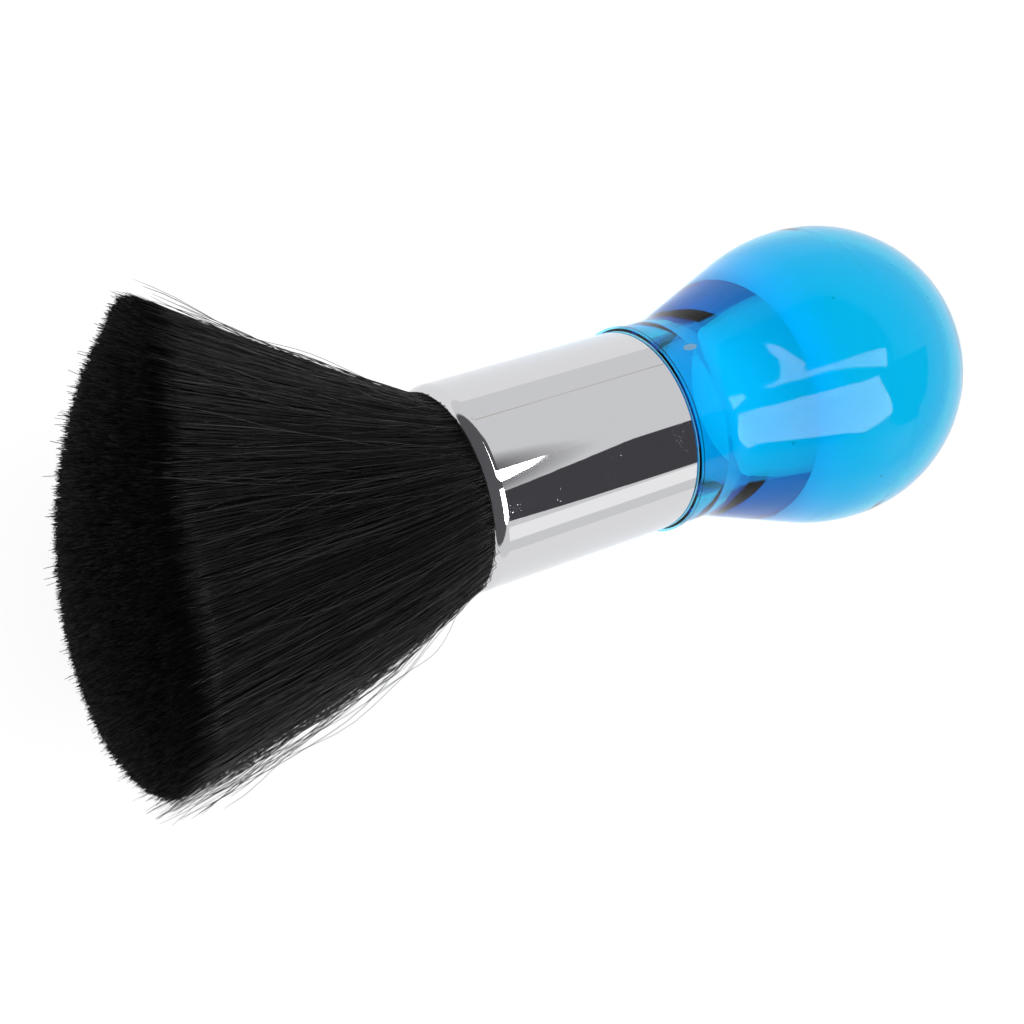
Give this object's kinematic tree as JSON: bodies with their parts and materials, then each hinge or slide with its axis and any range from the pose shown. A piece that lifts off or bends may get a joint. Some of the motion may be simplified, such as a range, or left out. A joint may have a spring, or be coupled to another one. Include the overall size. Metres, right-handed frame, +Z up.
{
  "type": "neck duster brush",
  "caption": "Barber's neck duster: a dense black flared bristle bundle held in a chromed ferrule on a hollow translucent blue bulb handle.",
  "frame": {"origin": "on the surface that the brush lies on, under the middle of its bounding box", "axes": "+X along the brush axis towards the handle bulb, +Y towards the longer side of the bristle fan, +Z up from the surface"},
  "size_m": [0.1772, 0.0796, 0.0605],
  "materials": {
    "blue_plastic": "transparent blue moulded plastic, high gloss",
    "ferrule_chrome": "mirror-bright plating",
    "adhesive": "cured clear adhesive",
    "resin": "cured dark casting resin",
    "thread": "twisted thread",
    "bristle": "fine black filaments with a soft sheen"
  },
  "bodies": {
    "root": {"handle": "blue_plastic", "ferrule": "ferrule_chrome", "adhesive_film": "adhesive", "root_resin": "resin", "binding_thread": "thread", "bristle_bundle": "bristle"}
  },
  "joints": []
}
